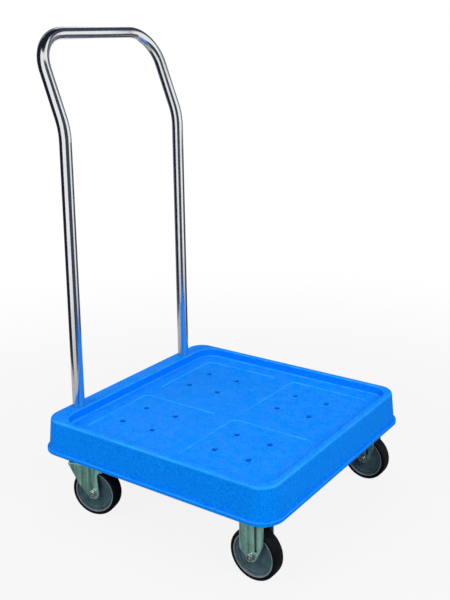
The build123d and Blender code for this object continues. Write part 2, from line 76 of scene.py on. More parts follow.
# Wheel sizes, as in the frame
wheel_radius = 0.050
tread_radius = 0.0497
tyre_half = 0.014
tyre_inner = 0.0425
lock_radius = 0.0445
lock_half = 0.004
groove_radius, groove_depth = 0.0443, 0.0004
seam_foot, seam_top = 0.0005, 0.0002
ridge_radius, ridge_half, ridge_foot, ridge_height = 0.034, 0.0006, 0.0014, 0.0022
dish_rise, ring_rise = 0.0012, 0.0018
ring_inner = 0.0399
ring_half = 0.0135
web_half = 0.0085
hub_radius = 0.014
hub_draft, ring_draft = 0.0004, 0.0002
bore_radius = 0.00608
turned_steps = 128

# Fastener sizes, those that are used: across the flats, head, nut, shank, pitch of the thread, washer
m8 = {"flats": 0.013, "head": 0.0053, "nut": 0.008, "shank": 0.008, "pitch": 0.00125, "washer": 0.016}
m6 = {"flats": 0.010, "head": 0.0040, "shank": 0.006, "pitch": 0.0010, "washer": 0.012}
m10 = {"flats": 0.017, "nut": 0.008, "shank": 0.010}
washer_thickness = 0.0016
washer_play = 0.0003
nut_body_share, collar_shoulder_share = 0.78, 0.6
nylon_below = 0.0005
thread_end = 0.002
thread_depth_share, threaded_share = 0.54, 0.5
crown_share, dish_rim_share, dish_floor_share, dish_depth = 0.475, 0.86, 0.72, 0.0012
corner_slope = tan(radians(30))
smooth_below = radians(32)
caster_bolt_length = 0.015
plate_under = 0.131
plate_bolts = (0.070, 0.052)
cup_under = 0.1182
cross_bolt_y, cross_bolt_z = 0.1765, 0.161


def width_of(node):
    """A node's size from side to side, which is along the axle on the front casters."""
    low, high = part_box(node)
    return high.y - low.y


hub_half = width_of("wheel_centre_front_right") / 2
axle_grip = width_of("axle_washers_front_right")


def on_screen(red, green, blue):
    """A colour as it looks on screen, each part from 0 to 255, as the linear values that shaders take."""
    parts = []
    for part in (red, green, blue):
        share = part / 255
        parts.append(share / 12.92 if share <= 0.04045 else ((share + 0.055) / 1.055) ** 2.4)
    return (*parts, 1)


# Shader helpers


def add(tree, kind, feeds=None, **settings):
    """One shader node with its settings. Its feeds are values, or the sockets that it gets them from."""
    made = tree.nodes.new(kind)
    for key, value in settings.items():
        setattr(made, key, value)
    for key, value in (feeds or {}).items():
        if isinstance(value, bpy.types.NodeSocket):
            tree.links.new(value, made.inputs[key])
        else:
            made.inputs[key].default_value = value
    return made


def mixed(tree, mask, first, second):
    """The first colour where the mask is 0 and the second where it is 1."""
    made = add(tree, "ShaderNodeMix", data_type="RGBA")
    for place, value in ((0, mask), (6, first), (7, second)):
        if isinstance(value, bpy.types.NodeSocket):
            tree.links.new(value, made.inputs[place])
        else:
            made.inputs[place].default_value = value
    return made.outputs[2]


def spread(tree, value, low, high, to_low=0.0, to_high=1.0):
    """The value's run from low to high, made to run from to_low to to_high."""
    feeds = {"Value": value, "From Min": low, "From Max": high, "To Min": to_low, "To Max": to_high}
    return add(tree, "ShaderNodeMapRange", feeds).outputs["Result"]


def maths(tree, operation, *values):
    """One or two values put through one sum."""
    return add(tree, "ShaderNodeMath", dict(enumerate(values)), operation=operation).outputs[0]


def finish_of(name):
    """A new material: itself, its node tree and its shader."""
    made = bpy.data.materials.new(name)
    made.use_nodes = True
    return made, made.node_tree, made.node_tree.nodes["Principled BSDF"]


def placed(tree, effect, **feeds):
    """A shared effect placed in a material with its own values: its outputs."""
    made = tree.nodes.new("ShaderNodeGroup")
    made.node_tree = effect
    for key, value in feeds.items():
        socket = made.inputs[key.replace("_", " ").capitalize()]
        if isinstance(value, bpy.types.NodeSocket):
            tree.links.new(value, socket)
        else:
            socket.default_value = value
    return made.outputs


def bumped(tree, shader, height, depth, soft_normal):
    """Sets the shader's normal from a height of this depth in metres, over a softened edge."""
    feeds = {"Strength": 1.0, "Distance": depth, "Height": height, "Normal": soft_normal}
    tree.links.new(add(tree, "ShaderNodeBump", feeds).outputs["Normal"], shader.inputs["Normal"])


# Effects that several finishes share


def effect(name, inputs, outputs):
    """A node group with named sockets: its tree, what comes in and what goes out."""
    tree = bpy.data.node_groups.new(name, "ShaderNodeTree")
    for label, kind, value in inputs:
        socket = tree.interface.new_socket(label, in_out="INPUT", socket_type=f"NodeSocket{kind}")
        socket.default_value = value
    for label in outputs:
        kind = "Vector" if label == "Normal" else "Float"
        tree.interface.new_socket(label, in_out="OUTPUT", socket_type=f"NodeSocket{kind}")
    return tree, tree.nodes.new("NodeGroupInput").outputs, tree.nodes.new("NodeGroupOutput").inputs


def mottle_effect():
    """Soft patches, Scale of them to the metre. Low and High set how much of the noise becomes a patch."""
    values = {"Scale": 20.0, "Detail": 3.0, "Low": 0.4, "High": 0.6}
    inputs = [(label, "Float", value) for label, value in values.items()]
    tree, given, out = effect("mottle", inputs, ["Mask"])
    place = add(tree, "ShaderNodeTexCoord").outputs["Object"]
    feeds = {"Vector": place, "Scale": given["Scale"], "Detail": given["Detail"], "Roughness": 0.6}
    noise = add(tree, "ShaderNodeTexNoise", feeds).outputs["Fac"]
    tree.links.new(spread(tree, noise, given["Low"], given["High"]), out["Mask"])
    return tree


def streak_effect():
    """Long thin marks. Stretch gives how many there are to the metre along each axis."""
    inputs = [("Stretch", "Vector", (400.0, 400.0, 10.0)), ("Low", "Float", 0.4), ("High", "Float", 0.6)]
    tree, given, out = effect("streaks", inputs, ["Mask"])
    place = add(tree, "ShaderNodeTexCoord").outputs["Object"]
    long = add(tree, "ShaderNodeVectorMath", {0: place, 1: given["Stretch"]}, operation="MULTIPLY").outputs[0]
    noise = add(tree, "ShaderNodeTexNoise", {"Vector": long, "Scale": 1.0, "Detail": 3.0}).outputs["Fac"]
    tree.links.new(spread(tree, noise, given["Low"], given["High"]), out["Mask"])
    return tree


def edge_wear_and_highlight_effect():
    """Edges within Width of a corner: a mask broken up by patches, for pale edges that are partly wear and
    partly a painted highlight, and the softened edge's normal.
    """
    inputs = [("Width", "Float", 0.001), ("Scale", "Float", 120.0)]
    tree, given, out = effect("edge wear and highlight", inputs, ["Mask", "Normal"])
    rounded = add(tree, "ShaderNodeBevel", {"Radius": given["Width"]}, samples=6).outputs["Normal"]
    tree.links.new(rounded, out["Normal"])
    facing = add(tree, "ShaderNodeNewGeometry").outputs["Normal"]
    same = add(tree, "ShaderNodeVectorMath", {0: rounded, 1: facing}, operation="DOT_PRODUCT")
    edge = spread(tree, same.outputs["Value"], 0.995, 0.9)
    place = add(tree, "ShaderNodeTexCoord").outputs["Object"]
    feeds = {"Vector": place, "Scale": given["Scale"], "Detail": 4.0}
    noise = add(tree, "ShaderNodeTexNoise", feeds).outputs["Fac"]
    tree.links.new(maths(tree, "MULTIPLY", edge, spread(tree, noise, 0.3, 0.65)), out["Mask"])
    return tree


def dust_effect():
    """Dust that settles on faces that look up, Scale patches to the metre."""
    tree, given, out = effect("settled dust", [("Scale", "Float", 60.0), ("Amount", "Float", 0.3)], ["Mask"])
    facing = add(tree, "ShaderNodeNewGeometry").outputs["Normal"]
    height = add(tree, "ShaderNodeSeparateXYZ", {"Vector": facing}).outputs["Z"]
    place = add(tree, "ShaderNodeTexCoord").outputs["Object"]
    feeds = {"Vector": place, "Scale": given["Scale"], "Detail": 5.0}
    noise = add(tree, "ShaderNodeTexNoise", feeds).outputs["Fac"]
    lying = maths(tree, "MULTIPLY", spread(tree, height, 0.2, 0.95), spread(tree, noise, 0.35, 0.7))
    tree.links.new(maths(tree, "MULTIPLY", lying, given["Amount"]), out["Mask"])
    return tree


def corner_shade_effect():
    """Painted shade that darkens corners and creases narrower than Reach, as a mask."""
    tree, given, out = effect("painted corner shade", [("Reach", "Float", 0.003)], ["Mask"])
    feeds = {"Distance": given["Reach"]}
    open_sky = add(tree, "ShaderNodeAmbientOcclusion", feeds, samples=8, only_local=True).outputs["AO"]
    tree.links.new(spread(tree, open_sky, 0.98, 0.80), out["Mask"])
    return tree


def grain_effect():
    """Moulded pebble grain, Scale pebbles to the metre, as a height from 0 to 1."""
    tree, given, out = effect("moulded grain", [("Scale", "Float", 700.0)], ["Height"])
    place = add(tree, "ShaderNodeTexCoord").outputs["Object"]
    feeds = {"Vector": place, "Scale": given["Scale"]}
    fine = add(tree, "ShaderNodeTexNoise", {**feeds, "Detail": 2.0}).outputs["Fac"]
    pebbles = add(tree, "ShaderNodeTexVoronoi", feeds, feature="SMOOTH_F1").outputs["Distance"]
    tree.links.new(maths(tree, "ADD", fine, pebbles), out["Height"])
    return tree


def ring_effect():
    """Fine rings left by the turned mould, Count to the metre out from the axle, as a height from 0 to 1."""
    tree, given, out = effect("mould rings", [("Count", "Float", 900.0)], ["Height"])
    away = add(tree, "ShaderNodeAttribute", attribute_name="axle_distance").outputs["Fac"]
    rings = maths(tree, "MULTIPLY", maths(tree, "MULTIPLY", away, given["Count"]), 2 * pi)
    wave = maths(tree, "SINE", rings)
    tree.links.new(spread(tree, wave, -1, 1), out["Height"])
    return tree


mottle = mottle_effect()
streaks = streak_effect()
edge_wear_and_highlight = edge_wear_and_highlight_effect()
settled_dust = dust_effect()
painted_corner_shade = corner_shade_effect()
moulded_grain = grain_effect()
mould_rings = ring_effect()


# Finishes


def rounding_share(tree):
    """1 on the roundings that look up and out, between upright faces and flat ones, and 0 elsewhere."""
    facing = add(tree, "ShaderNodeNewGeometry").outputs["Normal"]
    rise = add(tree, "ShaderNodeSeparateXYZ", {"Vector": facing}).outputs["Z"]
    return maths(tree, "MULTIPLY", spread(tree, rise, 0.12, 0.4), spread(tree, rise, 0.98, 0.75))


def moulded_blue():
    """Bright blue moulded plastic: fine speckle and grain, and a painted highlight that makes its upward
    roundings paler.
    """
    finish, tree, shader = finish_of("moulded_blue")
    patches = placed(tree, mottle, scale=6.0, detail=4.0, low=0.3, high=0.7)["Mask"]
    body = mixed(tree, patches, on_screen(0, 109, 239), on_screen(0, 118, 246))
    speckle = placed(tree, mottle, scale=300.0, detail=2.0, low=0.3, high=0.7)["Mask"]
    speckled = mixed(tree, speckle, body, on_screen(6, 151, 254))
    # Painted highlight: the roundings that look up are made paler, unevenly along their length
    highlight_breakup = spread(tree, placed(tree, mottle, scale=25.0)["Mask"], 0, 1, 0.3, 0.7)
    painted_highlight = maths(tree, "MULTIPLY", rounding_share(tree), highlight_breakup)
    edge_lightened = mixed(tree, painted_highlight, speckled, on_screen(44, 168, 248))
    dust = placed(tree, settled_dust, scale=45.0, amount=0.05)["Mask"]
    tree.links.new(mixed(tree, dust, edge_lightened, on_screen(150, 180, 205)), shader.inputs["Base Color"])
    tree.links.new(spread(tree, patches, 0, 1, 0.40, 0.50), shader.inputs["Roughness"])
    shader.inputs["Specular IOR Level"].default_value = 0.02
    edge = placed(tree, edge_wear_and_highlight, width=0.0006, scale=90.0)
    bumped(tree, shader, placed(tree, moulded_grain, scale=650.0)["Height"], 0.00012, edge["Normal"])
    return finish


def polished_tube():
    """Bright drawn tube, polished, with fine lines from the drawing and faint smears where hands hold it."""
    finish, tree, shader = finish_of("polished_tube")
    smears = placed(tree, mottle, scale=14.0, detail=2.0, low=0.35, high=0.75)["Mask"]
    lines = placed(tree, streaks, stretch=(700.0, 700.0, 4.0), low=0.2, high=0.8)["Mask"]
    coat = mixed(tree, smears, on_screen(238, 238, 236), on_screen(228, 230, 233))
    drawn = mixed(tree, maths(tree, "MULTIPLY", lines, 0.3), coat, on_screen(214, 219, 226))
    tree.links.new(drawn, shader.inputs["Base Color"])
    tree.links.new(spread(tree, smears, 0, 1, 0.12, 0.17), shader.inputs["Roughness"])
    shader.inputs["Metallic"].default_value = 1
    return finish


def plated_fork():
    """Pressed steel with a dull zinc coat: long streaks, stains where it is thin, pale edges that are partly
    wear and partly a painted highlight, and painted shade in corners.
    """
    finish, tree, shader = finish_of("plated_fork")
    runs = placed(tree, streaks, stretch=(110.0, 110.0, 9.0), low=0.38, high=0.62)["Mask"]
    coat = mixed(tree, runs, on_screen(84, 134, 125), on_screen(156, 216, 202))
    tints = placed(tree, mottle, scale=70.0, detail=3.0, low=0.4, high=0.7)["Mask"]
    tinted = mixed(tree, maths(tree, "MULTIPLY", tints, 0.5), coat, on_screen(146, 170, 160))
    stains = placed(tree, mottle, scale=95.0, detail=5.0, low=0.54, high=0.66)["Mask"]
    stained = mixed(tree, maths(tree, "MULTIPLY", stains, 0.5), tinted, on_screen(120, 116, 84))
    # Pale edges: partly bare zinc, partly a painted highlight
    edge = placed(tree, edge_wear_and_highlight, width=0.0014, scale=150.0)
    edge_lightened = mixed(tree, edge["Mask"], stained, on_screen(214, 240, 230))
    # Painted shade: darker in corners and creases
    shade_mask = placed(tree, painted_corner_shade, reach=0.004)["Mask"]
    tree.links.new(mixed(tree, shade_mask, edge_lightened, on_screen(22, 30, 28)), shader.inputs["Base Color"])
    tree.links.new(spread(tree, runs, 0, 1, 0.30, 0.48), shader.inputs["Roughness"])
    shader.inputs["Metallic"].default_value = 0.85
    bumped(tree, shader, runs, 0.00004, edge["Normal"])
    return finish


def bright_zinc():
    """Fasteners with a bright zinc coat, bare edges that also carry a painted highlight, and painted shade in
    their hollows.
    """
    finish, tree, shader = finish_of("bright_zinc")
    patches = placed(tree, mottle, scale=260.0, detail=3.0, low=0.35, high=0.65)["Mask"]
    coat = mixed(tree, patches, on_screen(128, 138, 132), on_screen(204, 210, 206))
    # Pale edges: partly bare zinc, partly a painted highlight
    edge = placed(tree, edge_wear_and_highlight, width=0.0007, scale=300.0)
    edge_lightened = mixed(tree, edge["Mask"], coat, on_screen(240, 244, 240))
    # Painted shade: darker in hollows and corners
    shade_mask = placed(tree, painted_corner_shade, reach=0.004)["Mask"]
    tree.links.new(mixed(tree, shade_mask, edge_lightened, on_screen(38, 42, 38)), shader.inputs["Base Color"])
    tree.links.new(spread(tree, patches, 0, 1, 0.16, 0.28), shader.inputs["Roughness"])
    shader.inputs["Metallic"].default_value = 1
    bumped(tree, shader, patches, 0.00001, edge["Normal"])
    return finish


def nylon_ring():
    """Off-white nylon of the rings in the lock nuts."""
    finish, tree, shader = finish_of("nylon_ring")
    patches = placed(tree, mottle, scale=400.0)["Mask"]
    body = mixed(tree, patches, on_screen(196, 196, 186), on_screen(214, 214, 206))
    tree.links.new(body, shader.inputs["Base Color"])
    tree.links.new(spread(tree, patches, 0, 1, 0.45, 0.6), shader.inputs["Roughness"])
    return finish


def grey_wheel():
    """Slate grey moulded wheel centre, with fine rings from its mould, and a painted highlight that makes its
    outer ring, ridge and edges pale.
    """
    finish, tree, shader = finish_of("grey_wheel")
    patches = placed(tree, mottle, scale=70.0, detail=4.0, low=0.35, high=0.65)["Mask"]
    body = mixed(tree, patches, on_screen(54, 78, 87), on_screen(72, 99, 109))
    # Painted highlight: the outer ring and the ridge are made pale
    away = add(tree, "ShaderNodeAttribute", attribute_name="axle_distance").outputs["Fac"]
    outer = spread(tree, away, ring_inner - 0.0003, ring_inner + 0.0004)
    off_ridge = maths(tree, "ABSOLUTE", maths(tree, "SUBTRACT", away, ridge_radius))
    ridge = spread(tree, off_ridge, 0.0011, 0.0004, 0, 0.22)
    ring = maths(tree, "MAXIMUM", outer, ridge)
    painted_highlight = maths(tree, "MULTIPLY", ring, spread(tree, patches, 0, 1, 0.75, 1))
    ringed = mixed(tree, painted_highlight, body, on_screen(136, 150, 154))
    # Pale edges: partly wear, partly a painted highlight
    edge = placed(tree, edge_wear_and_highlight, width=0.0012, scale=160.0)
    tree.links.new(mixed(tree, edge["Mask"], ringed, on_screen(138, 152, 156)), shader.inputs["Base Color"])
    tree.links.new(spread(tree, patches, 0, 1, 0.42, 0.56), shader.inputs["Roughness"])
    shader.inputs["Specular IOR Level"].default_value = 0.18
    bumped(tree, shader, placed(tree, mould_rings, count=700.0)["Height"], 0.00003, edge["Normal"])
    return finish


def tyre_rubber():
    """Black rubber, greyer where it has rolled and gathered dust."""
    finish, tree, shader = finish_of("tyre_rubber")
    patches = placed(tree, mottle, scale=90.0, detail=6.0, low=0.45, high=0.75)["Mask"]
    body = mixed(tree, patches, on_screen(8, 12, 16), on_screen(17, 22, 28))
    dust = placed(tree, settled_dust, scale=140.0, amount=0.04)["Mask"]
    tree.links.new(mixed(tree, dust, body, on_screen(120, 120, 118)), shader.inputs["Base Color"])
    tree.links.new(spread(tree, patches, 0, 1, 0.5, 0.75), shader.inputs["Roughness"])
    shader.inputs["Specular IOR Level"].default_value = 0.07
    edge = placed(tree, edge_wear_and_highlight, width=0.0006, scale=200.0)
    bumped(tree, shader, placed(tree, moulded_grain, scale=1500.0)["Height"], 0.00005, edge["Normal"])
    return finish


def black_plug():
    """Black plastic of the plugs in the tube's ends."""
    finish, tree, shader = finish_of("black_plug")
    patches = placed(tree, mottle, scale=150.0)["Mask"]
    body = mixed(tree, patches, on_screen(22, 22, 23), on_screen(36, 36, 37))
    tree.links.new(body, shader.inputs["Base Color"])
    tree.links.new(spread(tree, patches, 0, 1, 0.4, 0.6), shader.inputs["Roughness"])
    return finish


def brass_insert():
    """Brass of the threaded inserts."""
    finish, tree, shader = finish_of("brass_insert")
    patches = placed(tree, mottle, scale=240.0)["Mask"]
    body = mixed(tree, patches, on_screen(190, 150, 75), on_screen(214, 178, 96))
    tree.links.new(body, shader.inputs["Base Color"])
    tree.links.new(spread(tree, patches, 0, 1, 0.25, 0.4), shader.inputs["Roughness"])
    shader.inputs["Metallic"].default_value = 1
    return finish


def bearing_steel():
    """Hard bright steel of balls, cups and kingpins, darkened by grease."""
    finish, tree, shader = finish_of("bearing_steel")
    grease = placed(tree, mottle, scale=180.0, detail=4.0, low=0.5, high=0.7)["Mask"]
    body = mixed(tree, grease, on_screen(190, 192, 194), on_screen(92, 84, 70))
    tree.links.new(body, shader.inputs["Base Color"])
    tree.links.new(spread(tree, grease, 0, 1, 0.15, 0.4), shader.inputs["Roughness"])
    shader.inputs["Metallic"].default_value = 1
    return finish


finishes = {
    "deck_plastic": moulded_blue(),
    "handle_steel": polished_tube(),
    "fork_zinc": plated_fork(),
    "fastener_zinc": bright_zinc(),
    "bearing_steel": bearing_steel(),
    "wheel_plastic": grey_wheel(),
    "tyre_rubber": tyre_rubber(),
    "plug_plastic": black_plug(),
    "insert_brass": brass_insert(),
    "nylon_ring": nylon_ring(),
}

# Shapes


def turned(outline):
    """A ring turned about Z. Each corner of the outline is a radius, a place along Z and a rounding."""
    shape = bmesh.new()
    corners = [shape.verts.new((radius, 0, along)) for radius, along, _ in outline]
    shape.faces.new(corners)
    for corner, (_, _, rounding) in zip(corners, outline):
        if rounding:
            bmesh.ops.bevel(
                shape, geom=[corner], offset=rounding, offset_type="OFFSET", affect="VERTICES",
                segments=4, profile=0.5, material=-1,
            )
    bmesh.ops.delete(shape, geom=shape.faces[:], context="FACES_ONLY")
    bmesh.ops.spin(
        shape, geom=shape.verts[:] + shape.edges[:], cent=(0, 0, 0), axis=(0, 0, 1), dvec=(0, 0, 0),
        angle=2 * pi, steps=turned_steps, use_merge=True,
    )
    bmesh.ops.remove_doubles(shape, verts=shape.verts[:], dist=1e-7)
    bmesh.ops.recalc_face_normals(shape, faces=shape.faces[:])
    axle_distance = shape.verts.layers.float.new("axle_distance")
    for corner in shape.verts:
        corner[axle_distance] = corner.co.xy.length
    return shape


def both_sides(half):
    """A whole outline from the half on the bolt head's side."""
    return half + [(radius, -along, rounding) for radius, along, rounding in reversed(half)]


def hex_block(flats, height):
    """A hexagon block on Z, each side in short runs: the shape, its lower face and its upper one."""
    shape = bmesh.new()
    bmesh.ops.create_circle(shape, cap_ends=True, segments=6, radius=flats / 2 / cos(pi / 6))
    bmesh.ops.subdivide_edges(shape, edges=shape.edges[:], cuts=7)
    lower = shape.faces[:][0]
    grown = bmesh.ops.extrude_face_region(shape, geom=[lower])["geom"]
    upper = next(part for part in grown if isinstance(part, bmesh.types.BMFace))
    bmesh.ops.translate(shape, vec=(0, 0, height), verts=upper.verts[:])
    return shape, lower, upper


def ring_on(shape, face, radius, height):
    """Carries a block's end face on to a circle of this radius at this height."""
    bmesh.ops.inset_individual(shape, faces=[face], thickness=1e-5, depth=0)
    for corner in face.verts:
        out = corner.co.xy.normalized() * radius
        corner.co = (out.x, out.y, height)


def turn_off_corners(shape, face, radius, height, inward):
    """Takes the hexagon's corners off at an end, outside a circle of this radius."""
    for corner in face.verts:
        corner.co.z += inward * (corner.co.xy.length - radius) * corner_slope
    ring_on(shape, face, radius, height)


def hex_bolt(size, length):
    """A hexagon bolt: head up from Z 0 with a dished top, shank down with a thread at its end."""
    shape, lower, upper = hex_block(size["flats"], size["head"])
    crown = size["flats"] * crown_share
    turn_off_corners(shape, upper, crown, size["head"], -1)
    ring_on(shape, upper, crown * dish_rim_share, size["head"])
    ring_on(shape, upper, crown * dish_floor_share, size["head"] - dish_depth)
    turn_off_corners(shape, lower, crown, 0, 1)
    shank = size["shank"] / 2
    root = shank - size["pitch"] * thread_depth_share
    ring_on(shape, lower, shank, 0)
    turns = int(threaded_share * length / size["pitch"])
    level = turns * size["pitch"] - length
    ring_on(shape, lower, shank, level)
    for _ in range(turns - 1):
        ring_on(shape, lower, root, level - size["pitch"] / 2)
        level -= size["pitch"]
        ring_on(shape, lower, shank, level)
    ring_on(shape, lower, root, -length)
    return shape


def lock_nut(size):
    """A hexagon nut on Z, with a rolled collar round a nylon ring. The ring's faces take slot 1."""
    body, top = size["nut"] * nut_body_share, size["nut"]
    crown, bore = size["flats"] * crown_share, size["shank"] / 2
    shape, lower, upper = hex_block(size["flats"], body)
    turn_off_corners(shape, lower, crown, 0, 1)
    ring_on(shape, lower, bore, 0)
    turn_off_corners(shape, upper, crown, body, -1)
    shoulder = body + (top - body) * collar_shoulder_share
    for share, height in ((1.46, body), (1.44, shoulder), (1.34, top), (1.2, top)):
        ring_on(shape, upper, bore * share, height)
    before = set(shape.faces)
    for share in (1.17, 1):
        ring_on(shape, upper, bore * share, top - nylon_below)
    for face in set(shape.faces) - before:
        face.material_index = 1
    rims = lower.edges[:] + upper.edges[:]
    bmesh.ops.delete(shape, geom=[lower, upper], context="FACES_ONLY")
    bmesh.ops.bridge_loops(shape, edges=rims)
    bmesh.ops.recalc_face_normals(shape, faces=shape.faces[:])
    return shape


def flat_washer(size):
    """A flat washer that stands on Z, its edges rounded by the press."""
    bore, rim = size["shank"] / 2 + washer_play, size["washer"] / 2
    return turned([
        (bore, 0, 0.0001), (bore, washer_thickness, 0.0003),
        (rim, washer_thickness, 0.0005), (rim, 0, 0.0002),
    ])


def stood(place, along, turn=0.0):
    """A place for a shape whose Z goes along a direction, turned about it by so many degrees."""
    tilt = Vector(along).to_track_quat("Z", "Y").to_matrix().to_4x4()
    return Matrix.Translation(place) @ tilt @ Matrix.Rotation(radians(turn), 4, "Z")


def piece(name, shape, places, finish_names, body, *nodes):
    """A finished piece: a copy of the shape at each place, on its body, in place of CAD nodes."""
    mould = bpy.data.meshes.new(name + "_mould")
    shape.to_mesh(mould)
    shape.free()
    whole = bmesh.new()
    for place in places:
        copy = mould.copy()
        copy.transform(place)
        whole.from_mesh(copy)
        bpy.data.meshes.remove(copy)
    bpy.data.meshes.remove(mould)
    mesh = bpy.data.meshes.new(name)
    whole.to_mesh(mesh)
    whole.free()
    mesh.shade_smooth()
    mesh.set_sharp_from_angle(angle=smooth_below)
    for finish_name in finish_names:
        mesh.materials.append(finishes[finish_name])
    made = bpy.data.objects.new(name, mesh)
    scene.collection.objects.link(made)
    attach(made, body)
    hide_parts(*nodes)


# Wheels

tyre_outline = both_sides([
    (lock_radius, lock_half, 0),
    (tyre_inner, lock_half, 0),
    (tyre_inner, ring_half, 0.0003),
    (groove_radius - groove_depth, tyre_half, 0.0002),
    (groove_radius - groove_depth / 2, tyre_half - groove_depth, 0),
    (groove_radius + groove_depth / 2, tyre_half - groove_depth, 0),
    (groove_radius + groove_depth, tyre_half, 0.0002),
    (tread_radius, tyre_half, 0.0046),
    (tread_radius, seam_foot, 0),
    (wheel_radius, seam_top, 0),
])
wheel_outline = both_sides([
    (bore_radius, hub_half, 0.0004),
    (hub_radius - hub_draft, hub_half, 0.0008),
    (hub_radius, web_half, 0.0025),
    (ridge_radius - ridge_half - ridge_foot, web_half, 0.0006),
    (ridge_radius - ridge_half, web_half + ridge_height, 0.0005),
    (ridge_radius + ridge_half, web_half + ridge_height, 0.0005),
    (ridge_radius + ridge_foot, web_half + dish_rise, 0.0005),
    (ring_inner, web_half + ring_rise, 0.0008),
    (ring_inner + ring_draft, ring_half, 0.0009),
    (tyre_inner, ring_half, 0.0009),
    (tyre_inner, lock_half, 0),
    (lock_radius, lock_half, 0),
])


def axle_frame(joint):
    """A wheel's place: X the way it rolls, Y up, and Z along the axle towards the bolt's head."""
    along = Vector(joint["axis"])
    rolls = Vector((along.y, -along.x, 0))
    turn = Matrix((rolls, Vector((0, 0, 1)), -along)).transposed().to_4x4()
    return Matrix.Translation(joint["pos_m"]) @ turn


def along_axle(distance, turn=0.0, facing=1):
    """A place on the axle, this far towards the bolt's head, facing it or away from it."""
    flip = Matrix.Rotation(0 if facing > 0 else pi, 4, "X")
    return Matrix.Translation((0, 0, distance)) @ flip @ Matrix.Rotation(radians(turn), 4, "Z")


spins = [joint for joint in frame["joints"] if joint["name"].startswith("wheel_spin_")]
spanner_turns = (11, 38, 23, 52)
for joint, spanner_turn in zip(spins, spanner_turns):
    corner = joint["name"].removeprefix("wheel_spin_")
    axle = axle_frame(joint)
    wheel_body, fork_body = joint["child"], joint["parent"]
    piece(
        f"rubber_tyre_{corner}", turned(tyre_outline), [axle], ["tyre_rubber"], wheel_body, f"tyre_{corner}",
    )
    piece(
        f"moulded_wheel_{corner}", turned(wheel_outline), [axle], ["wheel_plastic"], wheel_body,
        f"wheel_centre_{corner}",
    )
    head_seat = axle @ along_axle(axle_grip / 2, spanner_turn)
    piece(
        f"axle_hex_bolt_{corner}", hex_bolt(m8, axle_grip + m8["nut"] + thread_end), [head_seat],
        ["fastener_zinc"], fork_body, f"axle_bolt_{corner}",
    )
    nut_seat = axle @ along_axle(-axle_grip / 2, spanner_turn * 2, -1)
    piece(
        f"axle_lock_nut_{corner}", lock_nut(m8), [nut_seat], ["fastener_zinc", "nylon_ring"], fork_body,
        f"axle_nut_{corner}",
    )
    washer_seats = [
        axle @ along_axle(axle_grip / 2 - washer_thickness),
        axle @ along_axle(-axle_grip / 2 + washer_thickness, 0, -1),
    ]
    piece(
        f"axle_flat_washers_{corner}", flat_washer(m8), washer_seats, ["fastener_zinc"], fork_body,
        f"axle_washers_{corner}",
    )

# Fasteners of the handle and the casters

bolts_low, bolts_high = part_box("handle_bolts")
head_seat_x = bolts_low.x + m8["head"]
thread_end_x = bolts_high.x
nut_seat_x = thread_end_x - thread_end - m8["nut"]
sides = (-cross_bolt_y, cross_bolt_y)
head_turns = (-21.3, 49.3)
nut_turns = (42.65, 7.35)
piece(
    "handle_hex_bolts", hex_bolt(m8, thread_end_x - head_seat_x),
    [stood((head_seat_x, y, cross_bolt_z), (-1, 0, 0), turn) for y, turn in zip(sides, head_turns)],
    ["fastener_zinc"], "chassis", "handle_bolts",
)
piece(
    "handle_lock_nuts", lock_nut(m8),
    [stood((nut_seat_x, y, cross_bolt_z), (1, 0, 0), turn) for y, turn in zip(sides, nut_turns)],
    ["fastener_zinc", "nylon_ring"], "chassis", "handle_nuts",
)
piece(
    "handle_flat_washers", flat_washer(m8),
    [stood((head_seat_x + washer_thickness, y, cross_bolt_z), (-1, 0, 0)) for y in sides]
    + [stood((nut_seat_x - washer_thickness, y, cross_bolt_z), (1, 0, 0)) for y in sides],
    ["fastener_zinc"], "chassis", "handle_washers",
)

swivels = [joint for joint in frame["joints"] if joint["name"].startswith("swivel_turn_")]
fixed_wheels = [joint for joint in spins if joint["parent"] == "chassis"]
bolt_spots = [
    (joint["pos_m"][0] + x * plate_bolts[0] / 2, joint["pos_m"][1] + y * plate_bolts[1] / 2)
    for joint in swivels + fixed_wheels
    for x in (-1, 1)
    for y in (-1, 1)
]
down = (0, 0, -1)
bolt_seat = plate_under - washer_thickness
turn_step = 37
kingpin_nut_turn = 20
piece(
    "caster_hex_bolts", hex_bolt(m6, caster_bolt_length),
    [stood((x, y, bolt_seat), down, turn_step * place) for place, (x, y) in enumerate(bolt_spots)],
    ["fastener_zinc"], "chassis", "caster_bolts",
)
piece(
    "caster_flat_washers", flat_washer(m6), [stood((x, y, plate_under), down) for x, y in bolt_spots],
    ["fastener_zinc"], "chassis", "caster_washers",
)
for joint in swivels:
    corner = joint["name"].removeprefix("swivel_turn_")
    x, y, _ = joint["pos_m"]
    piece(
        f"kingpin_lock_nut_{corner}", lock_nut(m10), [stood((x, y, cup_under), down, kingpin_nut_turn)],
        ["fastener_zinc", "nylon_ring"], "chassis", f"kingpin_nut_{corner}",
    )

# CAD nodes that stay get the finish of their own slot
for kept in frame["nodes"].values():
    kept.data.materials[0] = finishes[kept.data.materials[0].name]

# Stage: a pale floor that fades to white, dark cards for the polish to mirror, soft lamps and a white world


def staged(name, shape, finish):
    """An object of the stage, which isn't part of the dolly."""
    mesh = bpy.data.meshes.new(name)
    shape.to_mesh(mesh)
    shape.free()
    mesh.materials.append(finish)
    made = bpy.data.objects.new(name, mesh)
    scene.collection.objects.link(made)
    return made


def seen_shares(tree):
    """Two shares: 1 for rays from the camera, and 1 for rays off a polish or through a clear piece."""
    ray = add(tree, "ShaderNodeLightPath").outputs
    return ray["Is Camera Ray"], maths(tree, "MAXIMUM", ray["Is Glossy Ray"], ray["Is Transmission Ray"])


